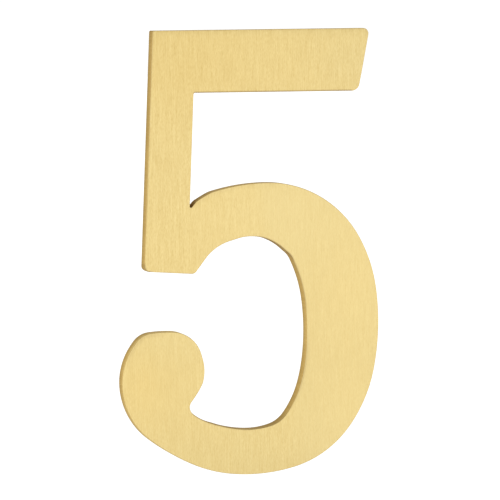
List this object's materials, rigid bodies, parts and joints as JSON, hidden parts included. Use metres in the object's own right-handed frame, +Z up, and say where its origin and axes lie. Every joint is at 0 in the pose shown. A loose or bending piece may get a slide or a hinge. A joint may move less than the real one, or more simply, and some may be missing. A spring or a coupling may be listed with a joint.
{
  "type": "door number",
  "caption": "Flat brass door number, the numeral five, cut from plate, with a vertically brushed face, square cut edges and a plain back that is fixed flat to a door.",
  "frame": {"origin": "on the flat back face, halfway across the numeral's width and in the middle of the stroke that springs from the stem", "axes": "+X to the reader's right, +Z up the numeral, +Y into the door; the brushed face looks along -Y"},
  "size_m": [0.0608, 0.0032, 0.1016],
  "materials": {
    "brass": "satin, brushed along the numeral's height, with darker cut edges"
  },
  "bodies": {
    "root": {"numeral_plate": "brass"}
  },
  "joints": []
}
